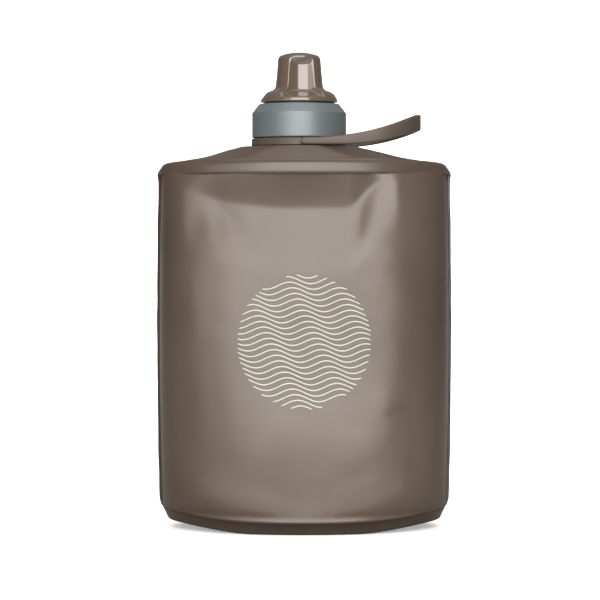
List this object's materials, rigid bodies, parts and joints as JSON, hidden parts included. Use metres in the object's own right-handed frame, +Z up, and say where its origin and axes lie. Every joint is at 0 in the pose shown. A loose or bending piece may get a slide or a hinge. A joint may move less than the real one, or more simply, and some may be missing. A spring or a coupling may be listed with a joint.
{
  "type": "collapsible water bottle",
  "caption": "Soft collapsible water bottle: a welded film bag with an oval base, a threaded neck, a screw collar, a fluted screw cap and a bail handle that turns on the neck.",
  "frame": {"origin": "on the floor under the middle of the bag", "axes": "+Z up through the neck, +X the way the bail handle lies, -Y the front"},
  "size_m": [0.1032, 0.0572, 0.166],
  "materials": {
    "film": "satin warm brown elastomer film, slightly cloudy",
    "print": "pale screen-printed ink",
    "neck": "moulded brown",
    "strap": "soft-touch brown elastomer",
    "seal": "black",
    "collar": "satin metallic blue-grey",
    "cap": "gloss brown",
    "stem": "moulded brown"
  },
  "bodies": {
    "bag": {"front_panel": "film", "back_panel": "film", "base_panel": "film"},
    "shoulder": {"top_panel": "film", "neck_fitment": "neck"},
    "ring": {"handle_ring": "strap"},
    "bail": {"bail_handle": "strap"},
    "gasket": {"neck_gasket": "seal"},
    "collar": {"collar": "collar"},
    "seal": {"cap_seal": "seal"},
    "cap": {"cap": "cap", "cap_stem": "stem"}
  },
  "joints": [
    {"name": "bag_collapse", "type": "slide", "parent": "bag", "child": "shoulder", "axis": [0, 0, -1], "range_m": [0, 0.09], "deforming": ["front_panel", "back_panel"]},
    {"name": "ring_swivel", "type": "hinge", "parent": "shoulder", "child": "ring", "pos_m": [0, 0, 0.13435], "axis": [0, 0, 1], "continuous": true},
    {"name": "bail_swing", "type": "hinge", "parent": "ring", "child": "bail", "pos_m": [0.002, 0, 0.13435], "axis": [0, -1, 0], "range_deg": [0, 165]},
    {"name": "collar_lift", "type": "slide", "parent": "shoulder", "child": "gasket", "axis": [0, 0, 1], "range_m": [0, 0.0135]},
    {"name": "collar_turn", "type": "hinge", "parent": "gasket", "child": "collar", "pos_m": [0, 0, 0.1418], "axis": [0, 0, 1], "range_deg": [0, 810.5]},
    {"name": "cap_lift", "type": "slide", "parent": "collar", "child": "seal", "axis": [0, 0, 1], "range_m": [0, 0.0125]},
    {"name": "cap_turn", "type": "hinge", "parent": "seal", "child": "cap", "pos_m": [0, 0, 0.1483], "axis": [0, 0, 1], "range_deg": [0, 900.5]}
  ],
  "couplings": [
    {"joint": "collar_turn", "follows": "collar_lift", "rad_per_m": 1047.2},
    {"joint": "cap_turn", "follows": "cap_lift", "rad_per_m": 1256.6}
  ]
}
